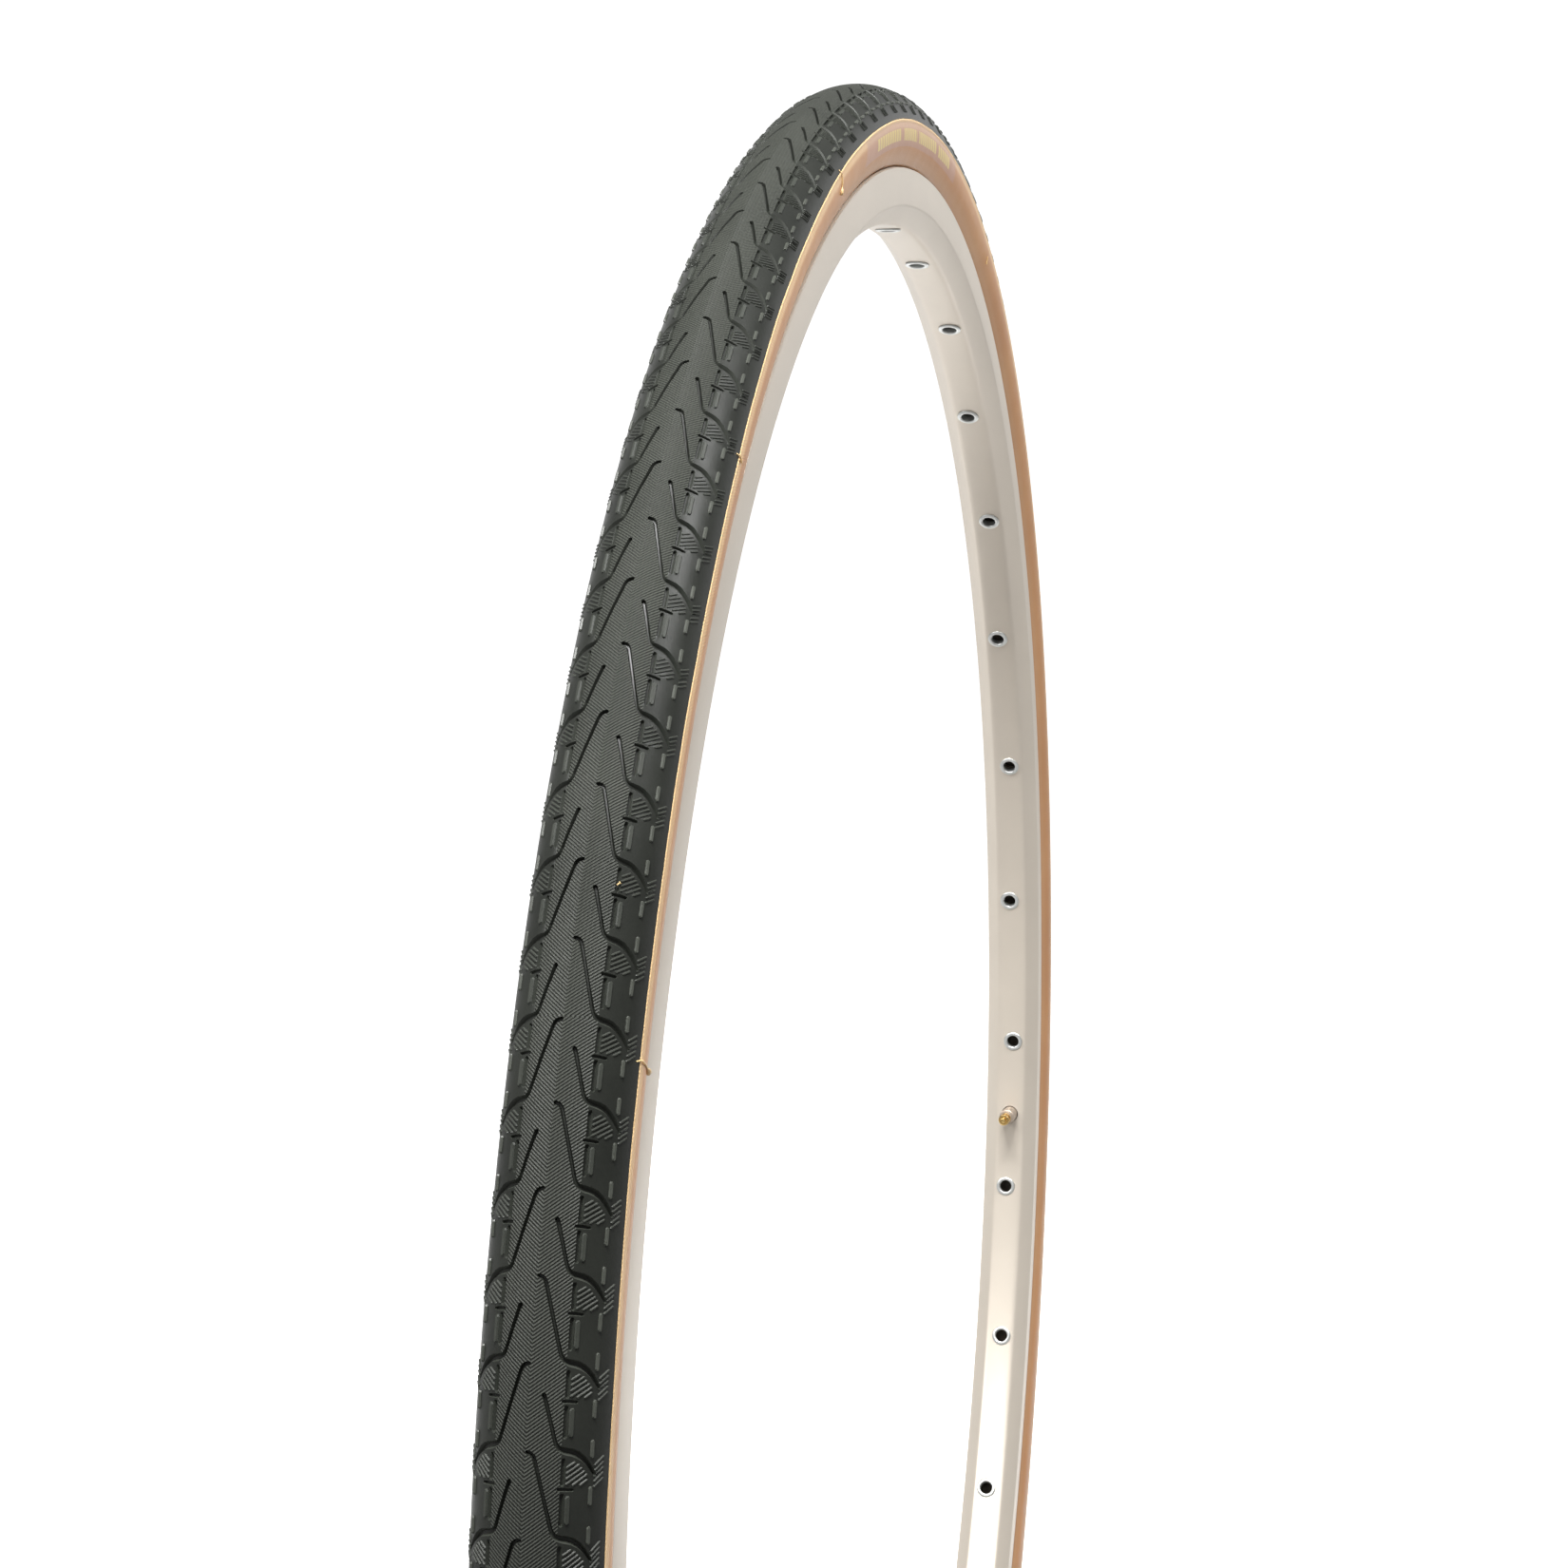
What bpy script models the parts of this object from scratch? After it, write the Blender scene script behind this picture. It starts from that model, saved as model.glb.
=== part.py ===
"""Clincher bicycle tyre with tan sidewalls, mounted with its inner tube on an eyeleted rim.

Frame: origin at the wheel centre, axle along Y, the wheel stands upright in the XZ plane, +Z up.
Sections are written as (y, r) pairs: y across the wheel, r from the axle.  Lengths are metres.
Wheel angles are degrees from +Z (top) towards +X.
"""
import bmesh
import bpy
import math
from mathutils import Matrix

# --- tyre -------------------------------------------------------------------------------
R_OUTER = 0.3390          # outer radius, 28-622 size
SECTION_R = 0.0131        # radius of the round tyre section
R_MID = R_OUTER - SECTION_R
TREAD_EDGE = 71.0         # section angle where the black tread stops
SKIN_START = 72.4         # section angle where the tan skin starts
CASING_SIDE = 0.0122      # section radius of the casing outside, at the sides
CROWN_DROP = 0.0014       # how much lower the casing lies under the crown
CASING_T = 0.0010         # casing thickness
SKIN_T = 0.0006           # tan skin thickness
TUBE_T = 0.0013           # inner tube wall
GAP = 0.0003              # clearance between pieces that touch

# --- bead and rim -----------------------------------------------------------------------
BEAD_Y = 0.0057
BEAD_R = 0.3137
BEAD_WIRE = 0.0008        # radius of the bead core
RIM_HALF = 0.0102         # half width over the brake tracks
FLANGE_TOP = 0.3166
SEAT_R = 0.3110           # bead seat, 622 mm diameter
BED_R = 0.3007            # inner face that carries the eyelets
BED_HALF = 0.0053
TRACK_LOW = 0.3060        # inner edge of the brake track
WELL_R = 0.3084

# --- spoke holes ------------------------------------------------------------------------
HOLES = 32
FIRST_HOLE = 2.0          # wheel angle of the first spoke hole
STAGGER = 0.0007          # holes step left and right of the centre line
EYE_BORE = 0.0023
EYE_TUBE = 0.0028
EYE_FLANGE = 0.0037
EYE_FLANGE_T = 0.0006
HOLE_R = EYE_TUBE + GAP
ACCESS_R = 0.0040

# --- valve ------------------------------------------------------------------------------
VALVE_HOLE_GAP = 8.5      # the valve sits between hole 9 and hole 10
STEM_R = 0.0030
STEM_BORE = 0.0017
STEM_END = 0.2885
CORE_END = 0.2864
NUT_LOW = 0.2822
NUT_HIGH = 0.2844
PIN_TIP = 0.2810

# --- facets -----------------------------------------------------------------------------
SIDES = 48
PITCH = 360.0 / SIDES
OUTSET = 1.0 / math.cos(math.pi / SIDES)   # facets stay tangent to the true circle
VALVE_ANGLE = FIRST_HOLE + VALVE_HOLE_GAP * 360.0 / HOLES
PHASE = (VALVE_ANGLE + PITCH / 2.0 - 90.0) % PITCH

ARC_OUTER = (0.0, 24.0, 48.0, 71.0, 90.0, 118.0)
ARC_INNER = (0.0, 40.0, 80.0, 118.0)
ARC_TUBE = (0.0, 38.0, 77.0, 117.0)
ARC_TUBE_IN = (26.0, 70.0, 115.0)


def clear_scene():
    for obj in list(bpy.data.objects):
        bpy.data.objects.remove(obj, do_unlink=True)


def collection(name):
    coll = bpy.data.collections.new(name)
    bpy.context.scene.collection.children.link(coll)
    return coll


def material(name, colour, roughness, metallic=0.0):
    mat = bpy.data.materials.new(name)
    mat.use_nodes = True
    mat.diffuse_color = (*colour, 1.0)
    bsdf = mat.node_tree.nodes["Principled BSDF"]
    bsdf.inputs["Base Color"].default_value = (*colour, 1.0)
    bsdf.inputs["Roughness"].default_value = roughness
    bsdf.inputs["Metallic"].default_value = metallic
    return mat


def add_object(name, mesh, mat, coll):
    obj = bpy.data.objects.new(name, mesh)
    coll.objects.link(obj)
    if mat is not None:
        mesh.materials.append(mat)
    return obj


def screw(obj, sides):
    mod = obj.modifiers.new("revolve", "SCREW")
    mod.axis = "Z"
    mod.angle = 2.0 * math.pi
    mod.steps = sides
    mod.render_steps = sides
    mod.use_merge_vertices = True
    mod.merge_threshold = 0.00002
    mod.use_normal_calculate = False
    mod.use_smooth_shade = True


def profile_mesh(name, loops, closed=True):
    verts = []
    edges = []
    for loop in loops:
        first = len(verts)
        verts += [(x, 0.0, z) for x, z in loop]
        edges += [(first + i, first + i + 1) for i in range(len(loop) - 1)]
        if closed:
            edges.append((len(verts) - 1, first))
    mesh = bpy.data.meshes.new(name)
    mesh.from_pydata(verts, edges, [])
    return mesh


# --- placing ----------------------------------------------------------------------------

def spin_matrix():
    """Turns a piece revolved about Z onto the Y axle, facets lined up with the valve."""
    tilt = Matrix.Rotation(math.radians(90.0), 4, "X")
    return Matrix.Rotation(math.radians(PHASE), 4, "Y") @ tilt


def facet_angle(angle):
    return VALVE_ANGLE + PITCH * round((angle - VALVE_ANGLE) / PITCH)


def radial_matrix(angle, radius, y=0.0):
    """Local +Z points away from the axle, square to the facet that holds the given angle."""
    flat = facet_angle(angle)
    slide = radius * math.tan(math.radians(angle - flat))
    turn = Matrix.Rotation(math.radians(flat), 4, "Y")
    return turn @ Matrix.Translation((slide, y, radius))


# --- ring sections ----------------------------------------------------------------------

def polar(angle, radius):
    a = math.radians(angle)
    return (radius * math.sin(a), R_MID + radius * math.cos(a))


def casing_radius(angle):
    c = max(0.0, math.cos(math.radians(angle)))
    return CASING_SIDE - CROWN_DROP * c * c


def symmetric(right):
    """Closes a path that runs crown outside, right edge, crown inside with its mirror image."""
    left = [(-y, r) for y, r in reversed(right)]
    return right + left[1:-1]


def mirrored(section):
    return [(-y, r) for y, r in reversed(section)]


def ring(name, loops, mat, coll, smooth=True):
    """Revolves closed (y, r) sections about the axle."""
    local = [[(r * OUTSET, -y) for y, r in loop] for loop in loops]
    obj = add_object(name, profile_mesh(name, local), mat, coll)
    screw(obj, SIDES)
    obj.modifiers["revolve"].use_smooth_shade = smooth
    obj.matrix_world = spin_matrix()
    return obj


def tread_section():
    edge = [a for a in ARC_OUTER if a < TREAD_EDGE] + [TREAD_EDGE]
    outside = [polar(a, SECTION_R) for a in edge]
    inside = [polar(a, casing_radius(a) + GAP) for a in edge]
    return symmetric(outside + inside[::-1])


def casing_section():
    outside = [polar(a, casing_radius(a)) for a in ARC_OUTER]
    foot = [
        (0.0088, 0.3181),
        (0.0046, 0.3155),
        (0.0046, 0.3126),
        (0.0068, 0.3126),
        (0.0068, 0.3120),
        (0.0040, 0.3120),
        (0.0040, 0.3162),
    ]
    inside = [polar(a, casing_radius(a) - CASING_T) for a in ARC_INNER]
    return symmetric(outside + foot + inside[::-1])


def skin_section():
    arc = (SKIN_START, 90.0, 118.0)
    outside = [polar(a, SECTION_R) for a in arc]
    heel = [
        (0.0103, 0.3178),
        (0.0094, 0.3170),
        (0.0081, 0.3168),
        (0.0081, 0.3113),
        (0.0075, 0.3113),
        (0.0075, 0.3169),
        (0.0098, 0.3182),
    ]
    inside = [polar(a, SECTION_R - SKIN_T) for a in arc]
    return outside + heel + inside[::-1]


def tube_section():
    """Inflated tube; its neck reaches down between the beads and is open along a fine slit there."""
    slack = CASING_T + 2.0 * GAP
    outside = [polar(a, casing_radius(a) - slack) for a in ARC_TUBE]
    outside += [(0.0034, 0.3164), (0.0033, 0.3104), (GAP, 0.3104)]
    inside = [polar(a, casing_radius(a) - slack - TUBE_T) for a in ARC_TUBE_IN]
    inside = [(0.0, inside[0][1])] + inside
    inside += [(0.0024, 0.3172), (0.0024, 0.3115), (GAP, 0.3115)]
    return symmetric(outside + inside[::-1])


def rim_sections():
    right = [
        (RIM_HALF - 0.0006, FLANGE_TOP),
        (RIM_HALF, FLANGE_TOP - 0.0006),
        (RIM_HALF, TRACK_LOW),
        (BED_HALF, BED_R),
    ]
    tyre_side = [
        (0.0042, WELL_R),
        (0.0054, SEAT_R),
        (0.0084, SEAT_R),
        (0.0084, FLANGE_TOP),
    ]
    left = [(-y, r) for y, r in reversed(right)]
    loop = tyre_side + right + left + [(-y, r) for y, r in reversed(tyre_side)]
    wall = 0.0016
    chamber = [
        (0.0037, WELL_R - 0.0015),
        (RIM_HALF - wall, SEAT_R - wall),
        (RIM_HALF - wall, TRACK_LOW + 0.0005),
        (BED_HALF - 0.0006, BED_R + wall),
    ]
    cavity = chamber + [(-y, r) for y, r in reversed(chamber)]
    return loop, cavity[::-1]


# --- cutters ----------------------------------------------------------------------------

def drill(bm, matrix, radius, length, sides=8):
    bmesh.ops.create_cone(
        bm,
        cap_ends=True,
        segments=sides,
        radius1=radius,
        radius2=radius,
        depth=length,
        matrix=matrix @ Matrix.Translation((0.0, 0.0, length / 2.0)),
    )


def cutter(name, bm, coll):
    mesh = bpy.data.meshes.new(name)
    bm.to_mesh(mesh)
    bm.free()
    obj = add_object(name, mesh, None, coll)
    obj.hide_render = True
    obj.display_type = "WIRE"
    return obj


def cut(obj, tool):
    mod = obj.modifiers.new("cut_" + tool.name, "BOOLEAN")
    mod.operation = "DIFFERENCE"
    mod.solver = "EXACT"
    mod.object = tool


def hole_places():
    """Wheel angle and side step of every spoke hole."""
    step = 360.0 / HOLES
    return [(FIRST_HOLE + step * i, STAGGER if i % 2 else -STAGGER) for i in range(HOLES)]


def rim_drilling(coll):
    bm = bmesh.new()
    for angle, side in hole_places():
        drill(bm, radial_matrix(angle, BED_R - 0.003, side), HOLE_R, 0.0068)
        drill(bm, radial_matrix(angle, BED_R + 0.0045, side), ACCESS_R, 0.0060)
    drill(bm, radial_matrix(VALVE_ANGLE, BED_R - 0.003), STEM_R + GAP, 0.0140, 12)
    return cutter("cut_rim_holes", bm, coll)


def single_drill(name, low, high, radius, coll, sides=12):
    bm = bmesh.new()
    drill(bm, radial_matrix(VALVE_ANGLE, low), radius, high - low, sides)
    return cutter(name, bm, coll)


# --- small round pieces -----------------------------------------------------------------

def spindle(name, base, profile, mat, coll, sides, closed):
    """Revolves an (x, r) profile about the valve axis; the origin sits at radius base."""
    local = [(x, r - base) for x, r in profile]
    obj = add_object(name, profile_mesh(name, [local], closed), mat, coll)
    screw(obj, sides)
    obj.matrix_world = radial_matrix(VALVE_ANGLE, base)
    return obj


def build_eyelets(mat, coll):
    flange_low = -GAP - EYE_FLANGE_T
    profile = [
        (EYE_TUBE, 0.0023),
        (EYE_TUBE, -GAP),
        (EYE_FLANGE, -GAP),
        (EYE_FLANGE, flange_low),
        (EYE_BORE, flange_low),
        (EYE_BORE, 0.0023),
    ]
    mesh = profile_mesh("eyelet", [profile])
    mesh.materials.append(mat)
    for index, (angle, side) in enumerate(hole_places()):
        obj = bpy.data.objects.new("eyelet_%02d" % (index + 1), mesh)
        coll.objects.link(obj)
        screw(obj, 8)
        obj.matrix_world = radial_matrix(angle, BED_R, side)


def build_valve(mats, coll):
    stem = [
        (STEM_R, 0.3101),
        (STEM_R, 0.2912),
        (0.0026, 0.2908),
        (0.0026, STEM_END),
        (STEM_BORE, STEM_END),
        (STEM_BORE, 0.3101),
    ]
    spindle("valve_stem", STEM_END, stem, mats["nickel"], coll, 12, True)
    core = [
        (0.0014, 0.3030),
        (0.0014, STEM_END - GAP),
        (0.0021, STEM_END - GAP),
        (0.0021, CORE_END),
        (0.0010, CORE_END),
        (0.0010, 0.3030),
    ]
    spindle("valve_core", CORE_END, core, mats["brass"], coll, 12, True)
    pin = [
        (0.0, 0.3054),
        (0.0013, 0.3054),
        (0.0013, 0.3037),
        (0.0006, 0.3033),
        (0.0006, 0.2818),
        (0.0010, 0.2815),
        (0.0010, PIN_TIP),
        (0.0, PIN_TIP),
    ]
    spindle("valve_pin", PIN_TIP, pin, mats["brass"], coll, 12, False)
    nut = [
        (0.0018, NUT_HIGH),
        (0.0022, NUT_HIGH - 0.0004),
        (0.0022, NUT_LOW),
        (0.0010, NUT_LOW),
        (0.0010, NUT_HIGH),
    ]
    spindle("valve_lock_nut", NUT_LOW, nut, mats["brass"], coll, 12, True)


def build_patch(mat, coll, cutters):
    """Reinforcing patch moulded round the valve foot, between tube and rim tape."""
    bm = bmesh.new()
    size = Matrix.Diagonal((0.0180, 0.0066, 0.0006, 1.0))
    place = radial_matrix(VALVE_ANGLE, 0.3098)
    bmesh.ops.create_cube(bm, size=1.0, matrix=place @ size)
    mesh = bpy.data.meshes.new("valve_patch")
    bm.to_mesh(mesh)
    bm.free()
    obj = add_object("valve_patch", mesh, mat, coll)
    hole = single_drill("cut_patch", 0.3090, 0.3106, STEM_R, cutters)
    cut(obj, hole)
    return obj


def materials():
    return {
        "tread": material("tyre_tread", (0.045, 0.046, 0.044), 0.72),
        "skin": material("tan_skin", (0.60, 0.36, 0.20), 0.62),
        "casing": material("casing_fabric", (0.20, 0.16, 0.11), 0.85),
        "steel": material("bead_wire", (0.55, 0.55, 0.55), 0.38, 1.0),
        "tube": material("tube_rubber", (0.03, 0.03, 0.03), 0.55),
        "tape": material("rim_tape", (0.07, 0.12, 0.25), 0.60),
        "alu": material("rim_aluminium", (0.80, 0.78, 0.75), 0.34, 1.0),
        "eyelet": material("eyelet_steel", (0.83, 0.81, 0.78), 0.22, 1.0),
        "nickel": material("stem_nickel", (0.74, 0.71, 0.64), 0.30, 1.0),
        "brass": material("valve_brass", (0.86, 0.62, 0.27), 0.28, 1.0),
    }


def build():
    clear_scene()
    coll = collection("bicycle_tire")
    cutters = collection("cutters")
    mats = materials()

    ring("tread", [tread_section()], mats["tread"], coll)
    ring("casing", [casing_section()], mats["casing"], coll)
    ring("sidewall_right", [skin_section()], mats["skin"], coll)
    ring("sidewall_left", [mirrored(skin_section())], mats["skin"], coll)

    wire = []
    for i in range(6):
        a = math.radians(-60.0 * i)
        wire.append((BEAD_Y + BEAD_WIRE * math.cos(a), BEAD_R + BEAD_WIRE * math.sin(a)))
    ring("bead_core_right", [wire], mats["steel"], coll)
    ring("bead_core_left", [mirrored(wire)], mats["steel"], coll)

    tube = ring("inner_tube", [tube_section()], mats["tube"], coll)
    split = tube.modifiers.new("split", "TRIANGULATE")
    split.quad_method = "FIXED_ALTERNATE"
    build_patch(mats["tube"], coll, cutters)

    tape_low = WELL_R + GAP
    tape = ring(
        "rim_tape",
        [[(-0.0038, tape_low + 0.0005), (0.0038, tape_low + 0.0005),
          (0.0038, tape_low), (-0.0038, tape_low)]],
        mats["tape"],
        coll,
    )
    cut(tape, single_drill("cut_tape", 0.3075, 0.3102, STEM_R + GAP, cutters))

    rim = ring("rim", list(rim_sections()), mats["alu"], coll, smooth=False)
    cut(rim, rim_drilling(cutters))

    build_eyelets(mats["eyelet"], coll)
    build_valve(mats, coll)


build()
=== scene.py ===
"""Tan-wall clincher tyre on its eyeleted rim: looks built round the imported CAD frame."""

import bmesh
import bpy
import math
from mathutils import Matrix, Vector, noise
from mathutils.geometry import delaunay_2d_cdt


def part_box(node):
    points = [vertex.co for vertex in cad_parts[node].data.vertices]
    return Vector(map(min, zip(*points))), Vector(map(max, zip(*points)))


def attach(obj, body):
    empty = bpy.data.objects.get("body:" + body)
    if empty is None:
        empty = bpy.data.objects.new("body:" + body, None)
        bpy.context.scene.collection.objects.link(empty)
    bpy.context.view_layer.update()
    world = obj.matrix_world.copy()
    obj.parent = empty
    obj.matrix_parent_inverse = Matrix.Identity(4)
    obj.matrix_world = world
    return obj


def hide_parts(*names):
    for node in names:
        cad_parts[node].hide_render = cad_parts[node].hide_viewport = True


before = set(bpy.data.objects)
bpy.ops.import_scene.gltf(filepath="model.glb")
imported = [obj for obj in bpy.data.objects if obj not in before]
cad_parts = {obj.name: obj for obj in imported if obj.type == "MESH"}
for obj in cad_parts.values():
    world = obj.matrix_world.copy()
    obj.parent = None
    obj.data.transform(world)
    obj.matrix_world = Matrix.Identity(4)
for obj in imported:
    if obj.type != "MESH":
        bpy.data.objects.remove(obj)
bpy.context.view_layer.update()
MM = 0.001

# --- dimensions in mm, taken from the frame where it holds them ---------------------------
FLOOR_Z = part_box("tread")[0].z - 0.0005
R_OUT = 338.95                      # visible crown radius, just inside the CAD box
RHO = -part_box("sidewall_left")[0].y / MM - 0.02   # radius of the round section
R_MID = R_OUT - RHO                 # radius of the circle the section is swept along
HALF_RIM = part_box("rim")[1].y / MM
BED_R = 300.7                       # inner face of the rim, where the eyelets sit
EYELETS = 32

CELLS = 71                          # tread pattern repeats round the wheel
CELL = 30.0                         # length of one repeat, mm
TURN = CELLS * CELL                 # length of the whole pattern, mm
R_WRAP = TURN / (2.0 * math.pi)
PHASE = math.radians(-64.55)        # wheel angle of the first shoulder corner
EDGE = 17.0                         # tread half width along its arc
RIBBED_HALF = 6.3                   # half width of the ribbed centre band
TUCK = 0.5                          # how far the walls draw in from the round section, mm
TUCK_FROM, TUCK_OVER = 0.87, 0.96   # section angles (rad) at which the tuck starts and its span


def box_centre(node):
    lo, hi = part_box(node)
    return (Vector(lo) + Vector(hi)) / 2.0


# --- mesh helpers -------------------------------------------------------------------------

def new_object(name, verts, faces, mats, *, angle, face_mat=None, uvs=None):
    """Mesh object with smooth faces and edges sharper than angle (degrees) left crisp."""
    mesh = bpy.data.meshes.new(name)
    mesh.from_pydata(verts, [], faces)
    for mat in mats:
        mesh.materials.append(mat)
    if face_mat is not None:
        mesh.polygons.foreach_set("material_index", face_mat)
    if uvs is not None:
        layer = mesh.uv_layers.new(name="surface")
        flat = []
        for poly in mesh.polygons:
            corner = [uvs[v] for v in poly.vertices]
            wide = max(c[0] for c in corner) - min(c[0] for c in corner)
            for c in corner:
                u = c[0]
                if wide > TURN / 2 and u < TURN / 2:
                    u += TURN
                flat += [u, c[1]]
        layer.data.foreach_set("uv", flat)
    mesh.polygons.foreach_set("use_smooth", [True] * len(mesh.polygons))
    if angle < 180:
        mesh.set_sharp_from_angle(angle=math.radians(angle))
    mesh.update()
    obj = bpy.data.objects.new(name, mesh)
    bpy.context.scene.collection.objects.link(obj)
    return obj


def wheel_point(theta, r, y):
    """Point in metres at wheel angle theta from the top, radius r and sideways place y (mm)."""
    return (r * math.sin(theta) * MM, y * MM, r * math.cos(theta) * MM)


def section_yr(v, h=0.0):
    """Sideways and radial place (mm) of the tyre's outside at arc position v, raised by h."""
    phi = v / RHO
    share = min(1.0, max(0.0, (abs(phi) - TUCK_FROM) / TUCK_OVER))
    radius = RHO + h - TUCK * share * share * (3.0 - 2.0 * share)
    return radius * math.sin(phi), R_MID + radius * math.cos(phi)


def section_point(theta, v, h=0.0):
    """Point of the tyre's outside; v is positive towards -Y."""
    y, r = section_yr(v, h)
    return wheel_point(theta, r, -y)


def revolve(name, loops, segments, mats, sharp):
    """Closed ring from (y, r) loops in mm; UVs run round the wheel and along the section."""
    verts, faces, uvs = [], [], []
    for loop in loops:
        area = sum(a[0] * b[1] - b[0] * a[1] for a, b in zip(loop, loop[1:] + loop[:1]))
        outer = loop is loops[0]
        if (area > 0) == outer:
            loop = loop[::-1]
        n = len(loop)
        base = len(verts)
        along = [0.0]
        for a, b in zip(loop, loop[1:] + loop[:1]):
            along.append(along[-1] + math.dist(a, b))
        for j in range(segments):
            theta = 2.0 * math.pi * j / segments
            for i, (y, r) in enumerate(loop):
                verts.append(wheel_point(theta, r, y))
                uvs.append((TURN * j / segments, along[i]))
        for j in range(segments):
            k = (j + 1) % segments
            for i in range(n):
                m = (i + 1) % n
                here, there = base + j * n, base + k * n
                faces.append((here + i, here + m, there + m, there + i))
    return new_object(name, verts, faces, mats, uvs=uvs, angle=sharp)


def lathe(name, profile, segments, mats, place, sharp):
    """Closed (x, z) profile in mm turned about local Z and placed by a matrix."""
    area = sum(a[0] * b[1] - b[0] * a[1] for a, b in zip(profile, profile[1:] + profile[:1]))
    if area < 0:
        profile = profile[::-1]
    verts, faces = [], []
    n = len(profile)
    for j in range(segments):
        a = 2.0 * math.pi * j / segments
        for x, z in profile:
            verts.append((x * math.cos(a) * MM, x * math.sin(a) * MM, z * MM))
    for j in range(segments):
        k = (j + 1) % segments
        for i in range(n):
            m = (i + 1) % n
            faces.append((j * n + i, k * n + i, k * n + m, j * n + m))
    obj = new_object(name, verts, faces, mats, angle=sharp)
    bm = bmesh.new()
    bm.from_mesh(obj.data)
    bmesh.ops.remove_doubles(bm, verts=bm.verts, dist=1e-7)
    bmesh.ops.dissolve_degenerate(bm, edges=bm.edges, dist=1e-8)
    bmesh.ops.delete(bm, geom=[e for e in bm.edges if not e.link_faces], context="EDGES")
    bmesh.ops.recalc_face_normals(bm, faces=bm.faces)
    bm.to_mesh(obj.data)
    bm.free()
    obj.data.set_sharp_from_angle(angle=math.radians(sharp))
    obj.matrix_world = place
    return obj


def outward_normals(obj, weld=0.0):
    """Merge vertices closer than weld (m) and turn every face outwards."""
    bm = bmesh.new()
    bm.from_mesh(obj.data)
    if weld:
        bmesh.ops.remove_doubles(bm, verts=bm.verts, dist=weld)
    bmesh.ops.recalc_face_normals(bm, faces=bm.faces)
    bm.to_mesh(obj.data)
    bm.free()


# --- material helpers ---------------------------------------------------------------------

def nodes_of(name):
    """New material with its node tree and its main shader."""
    mat = bpy.data.materials.new(name)
    mat.use_nodes = True
    tree = mat.node_tree
    return mat, tree, tree.nodes["Principled BSDF"]


def math_node(tree, op, a, b=None, clamp=False, add=None):
    """Sum, product or other function of numbers or sockets; add is the third input."""
    n = tree.nodes.new("ShaderNodeMath")
    n.operation = op
    n.use_clamp = clamp
    for slot, value in ((0, a), (1, b), (2, add)):
        if value is None:
            continue
        if isinstance(value, (int, float)):
            n.inputs[slot].default_value = value
        else:
            tree.links.new(value, n.inputs[slot])
    return n.outputs[0]


def noise_node(tree, vector, scale, detail=4.0, rough=0.55):
    n = tree.nodes.new("ShaderNodeTexNoise")
    n.inputs["Scale"].default_value = scale
    n.inputs["Detail"].default_value = detail
    n.inputs["Roughness"].default_value = rough
    tree.links.new(vector, n.inputs["Vector"])
    return n.outputs["Fac"]


def ramp_node(tree, fac, stops):
    """Colour ramp from (position, colour) stops."""
    n = tree.nodes.new("ShaderNodeValToRGB")
    ramp = n.color_ramp
    ramp.elements[0].position, ramp.elements[0].color = stops[0][0], (*stops[0][1], 1.0)
    ramp.elements[1].position, ramp.elements[1].color = stops[-1][0], (*stops[-1][1], 1.0)
    for position, colour in stops[1:-1]:
        ramp.elements.new(position).color = (*colour, 1.0)
    tree.links.new(fac, n.inputs["Fac"])
    return n.outputs["Color"]


def mapped(tree, socket, name, value):
    """The vector socket scaled or turned by the Mapping input of that name."""
    n = tree.nodes.new("ShaderNodeMapping")
    n.inputs[name].default_value = value
    tree.links.new(socket, n.inputs["Vector"])
    return n.outputs["Vector"]


def object_place(tree):
    return tree.nodes.new("ShaderNodeTexCoord").outputs["Object"]


def surface_uv(tree):
    """UV of the piece: mm round the wheel and mm along its section."""
    uv = tree.nodes.new("ShaderNodeUVMap")
    uv.uv_map = "surface"
    return uv.outputs["UV"]


def axes_of(tree, vector):
    split = tree.nodes.new("ShaderNodeSeparateXYZ")
    tree.links.new(vector, split.inputs[0])
    return split.outputs


def bump_node(tree, height, distance, strength=1.0, below=None):
    """Normal from a height and a depth in metres, laid over the normal below."""
    n = tree.nodes.new("ShaderNodeBump")
    n.inputs["Distance"].default_value = distance
    n.inputs["Strength"].default_value = strength
    tree.links.new(height, n.inputs["Height"])
    if below is not None:
        tree.links.new(below, n.inputs["Normal"])
    return n.outputs["Normal"]


def range_node(tree, value, low, high, start, end):
    """Smooth step from start at low to end at high."""
    n = tree.nodes.new("ShaderNodeMapRange")
    n.interpolation_type = "SMOOTHSTEP"
    for slot, number in (("From Min", low), ("From Max", high), ("To Min", start), ("To Max", end)):
        n.inputs[slot].default_value = number
    tree.links.new(value, n.inputs["Value"])
    return n.outputs["Result"]


def mix_colour(tree, fac, a, b):
    """Colour a turning into b as fac goes from 0 to 1."""
    n = tree.nodes.new("ShaderNodeMix")
    n.data_type = "RGBA"
    for slot, value in ((0, fac), (6, a), (7, b)):
        if isinstance(value, (int, float)):
            n.inputs[slot].default_value = value
        elif isinstance(value, tuple):
            n.inputs[slot].default_value = (*value, 1.0)
        else:
            tree.links.new(value, n.inputs[slot])
    return n.outputs[2]


def sine_wave(tree, value, pitch):
    return math_node(tree, "SINE", math_node(tree, "MULTIPLY", value, 2.0 * math.pi / pitch))


def varied_roughness(tree, bsdf, pattern_socket, low, spread):
    """Roughness from low to low + spread as the pattern goes from 0 to 1."""
    rough = math_node(tree, "MULTIPLY_ADD", pattern_socket, spread, add=low)
    tree.links.new(rough, bsdf.inputs["Roughness"])


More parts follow.
